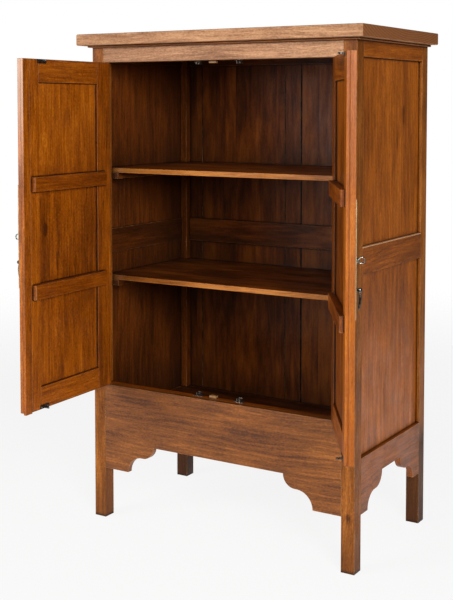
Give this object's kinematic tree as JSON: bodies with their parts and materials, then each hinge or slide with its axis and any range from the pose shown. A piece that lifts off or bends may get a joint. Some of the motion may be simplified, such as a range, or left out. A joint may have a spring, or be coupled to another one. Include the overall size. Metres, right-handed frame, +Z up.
{
  "type": "trastero cabinet",
  "caption": "Tall two-door wooden cupboard on square legs with scalloped aprons, shelves inside, half-round face plates and drop pulls",
  "frame": {"origin": "on the floor, under the middle of the carcass, between the four posts", "axes": "+X to the cabinet's right as one faces it, -Y out of the front, +Z up"},
  "size_m": [1.3475, 1.1094, 1.83],
  "materials": {
    "case_wood": "amber-brown stained hardwood, semi-gloss lacquer",
    "door_wood": "amber-brown stained hardwood, semi-gloss lacquer",
    "inner_wood": "darker stained hardwood, semi-gloss lacquer",
    "pale_wood": "pale unstained wood, waxed",
    "bright_steel": "zinc-plated spring steel",
    "hinge_brass": "aged brass",
    "pewter": "antique pewter, worn edges"
  },
  "bodies": {
    "carcass": {"back_boards": "inner_wood", "back_bottom_rail": "inner_wood", "back_mid_rail": "inner_wood", "back_top_rail": "inner_wood", "bottom_board": "inner_wood", "catch_clips_bottom": "bright_steel", "catch_clips_top": "bright_steel", "front_apron": "case_wood", "front_frieze_rail": "case_wood", "front_sill": "case_wood", "hinge_frame_leaves": "hinge_brass", "hinge_pins": "hinge_brass", "post_front_left": "case_wood", "post_front_right": "case_wood", "post_rear_left": "case_wood", "post_rear_right": "case_wood", "shelf_cleats": "inner_wood", "shelf_lower": "inner_wood", "shelf_upper": "inner_wood", "side_apron_left": "case_wood", "side_apron_right": "case_wood", "side_mid_rail_left": "case_wood", "side_mid_rail_right": "case_wood", "side_panel_lower_left": "case_wood", "side_panel_lower_right": "case_wood", "side_panel_upper_left": "case_wood", "side_panel_upper_right": "case_wood", "side_top_rail_left": "case_wood", "side_top_rail_right": "case_wood", "stop_blocks": "pale_wood", "top_board": "case_wood", "top_moulding": "case_wood"},
    "left_door": {"left_astragal": "door_wood", "left_battens": "door_wood", "left_bottom_rail": "door_wood", "left_face_plate": "pewter", "left_hinge_leaves": "hinge_brass", "left_hinge_stile": "door_wood", "left_lock_eye": "pewter", "left_lock_stile": "door_wood", "left_panel": "door_wood", "left_pull_pin": "pewter", "left_pull_post": "pewter", "left_strikes": "bright_steel", "left_top_rail": "door_wood"},
    "right_door": {"right_battens": "door_wood", "right_bottom_rail": "door_wood", "right_face_plate": "pewter", "right_hinge_leaves": "hinge_brass", "right_hinge_stile": "door_wood", "right_lock_eye": "pewter", "right_lock_stile": "door_wood", "right_panel": "door_wood", "right_pull_pin": "pewter", "right_pull_post": "pewter", "right_strikes": "bright_steel", "right_top_rail": "door_wood"},
    "left_pull": {"left_pull_drop": "pewter"},
    "right_pull": {"right_pull_drop": "pewter"}
  },
  "joints": [
    {"name": "left_door_hinge", "type": "hinge", "parent": "carcass", "child": "left_door", "pos_m": [-0.49425, -0.3082, 1.121], "axis": [0, 0, 1], "range_deg": [-92, 88]},
    {"name": "right_door_hinge", "type": "hinge", "parent": "carcass", "child": "right_door", "pos_m": [0.49425, -0.3082, 1.121], "axis": [0, 0, 1], "range_deg": [-121, 59]},
    {"name": "left_pull_pivot", "type": "hinge", "parent": "left_door", "child": "left_pull", "pos_m": [-0.48696, -0.78348, 1.036], "axis": [-0.0349, 0.9994, 0], "range_deg": [-6, 186]},
    {"name": "right_pull_pivot", "type": "hinge", "parent": "right_door", "child": "right_pull", "pos_m": [0.74699, -0.71078, 1.036], "axis": [0.515, -0.8572, 0], "range_deg": [-6, 186]}
  ]
}
